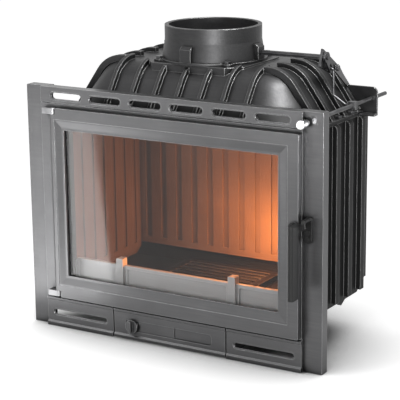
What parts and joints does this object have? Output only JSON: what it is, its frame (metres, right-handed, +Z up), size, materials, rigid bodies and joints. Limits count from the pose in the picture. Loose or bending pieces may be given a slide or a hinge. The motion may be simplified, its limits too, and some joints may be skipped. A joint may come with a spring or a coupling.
{
  "type": "fireplace insert",
  "caption": "Grey cast-iron fireplace insert with a glass door, ribbed smoke hood, round flue collar, ash drawer and damper rod.",
  "frame": {"origin": "On the floor, below the flue axis, on the underside of the ash housing.", "axes": "+Z up along the flue, the door faces -Y, +X to the viewer's right."},
  "size_m": [0.69, 0.414, 0.6415],
  "materials": {
    "grey_cast_iron": "heat-proof metallic grey paint on cast iron",
    "pale_cast_iron": "bare, lightly polished cast iron",
    "dark_cast_iron": "dark painted cast iron",
    "black_enamel": "satin black enamel",
    "plain_steel": "plain zinc-plated steel",
    "blackened_steel": "oil-blackened steel",
    "bright_chrome": "polished chrome",
    "ceramic_glass": "clear ceramic glass",
    "sealing_rope": "grey glass-fibre rope",
    "sheet_steel": "black sheet steel"
  },
  "bodies": {
    "casing": {"front_frame": "grey_cast_iron", "left_flange": "grey_cast_iron", "right_flange": "grey_cast_iron", "top_grille": "grey_cast_iron", "left_grille": "grey_cast_iron", "right_grille": "grey_cast_iron", "lower_hinge_block": "plain_steel", "upper_hinge_block": "plain_steel", "hinge_pins": "plain_steel", "hinge_washers": "plain_steel", "latch_catch": "black_enamel", "catch_screws": "black_enamel", "left_side": "dark_cast_iron", "right_side": "dark_cast_iron", "rear_panel": "dark_cast_iron", "base_plate": "dark_cast_iron", "hood": "dark_cast_iron", "hood_bolts": "blackened_steel", "flue_collar": "dark_cast_iron", "collar_flange": "dark_cast_iron", "collar_lugs": "dark_cast_iron", "collar_bolts": "blackened_steel", "damper_support": "blackened_steel", "rod_bush": "plain_steel", "damper_bracket": "grey_cast_iron", "support_bolt": "blackened_steel", "ash_housing": "sheet_steel", "grate": "dark_cast_iron", "log_guard": "pale_cast_iron", "left_lining": "dark_cast_iron", "right_lining": "dark_cast_iron", "rear_lining": "dark_cast_iron", "baffle_plate": "dark_cast_iron"},
    "door": {"door_frame": "grey_cast_iron", "door_glass": "ceramic_glass", "glass_tape": "sealing_rope", "glass_clips": "plain_steel", "clip_screws": "plain_steel", "door_rope": "sealing_rope", "pivot_bolt": "black_enamel", "pivot_washer": "plain_steel"},
    "handle": {"handle_lever": "black_enamel", "handle_grip": "black_enamel"},
    "drawer": {"drawer_front": "grey_cast_iron", "ash_pan": "sheet_steel", "pan_screws": "plain_steel"},
    "air_control": {"air_slide": "grey_cast_iron", "air_knob": "grey_cast_iron"},
    "damper_pull": {"damper_rod": "blackened_steel", "rod_knob": "bright_chrome", "rod_clamp": "blackened_steel", "damper_link": "blackened_steel"},
    "damper": {"damper_shaft": "blackened_steel", "damper_flap": "dark_cast_iron", "flap_screws": "plain_steel", "damper_crank": "blackened_steel"}
  },
  "joints": [
    {"name": "door_swing", "type": "hinge", "parent": "casing", "child": "door", "pos_m": [-0.27, -0.197, 0.273], "axis": [0, 0, -1], "range_deg": [0, 105]},
    {"name": "handle_turn", "type": "hinge", "parent": "door", "child": "handle", "pos_m": [0.294, -0.207, 0.297], "axis": [0, 1, 0], "range_deg": [-12, 60]},
    {"name": "drawer_slide", "type": "slide", "parent": "casing", "child": "drawer", "axis": [0, -1, 0], "range_m": [0, 0.28]},
    {"name": "air_slide_move", "type": "slide", "parent": "drawer", "child": "air_control", "axis": [1, 0, 0], "range_m": [0, 0.085]},
    {"name": "rod_pull", "type": "slide", "parent": "casing", "child": "damper_pull", "axis": [0, -1, 0], "range_m": [0, 0.034]},
    {"name": "damper_turn", "type": "hinge", "parent": "casing", "child": "damper", "pos_m": [0, 0, 0.5895], "axis": [-1, 0, 0], "range_deg": [0, 72]}
  ],
  "couplings": [
    {"joint": "damper_turn", "follows": "rod_pull", "rad_per_m": 36.9}
  ]
}
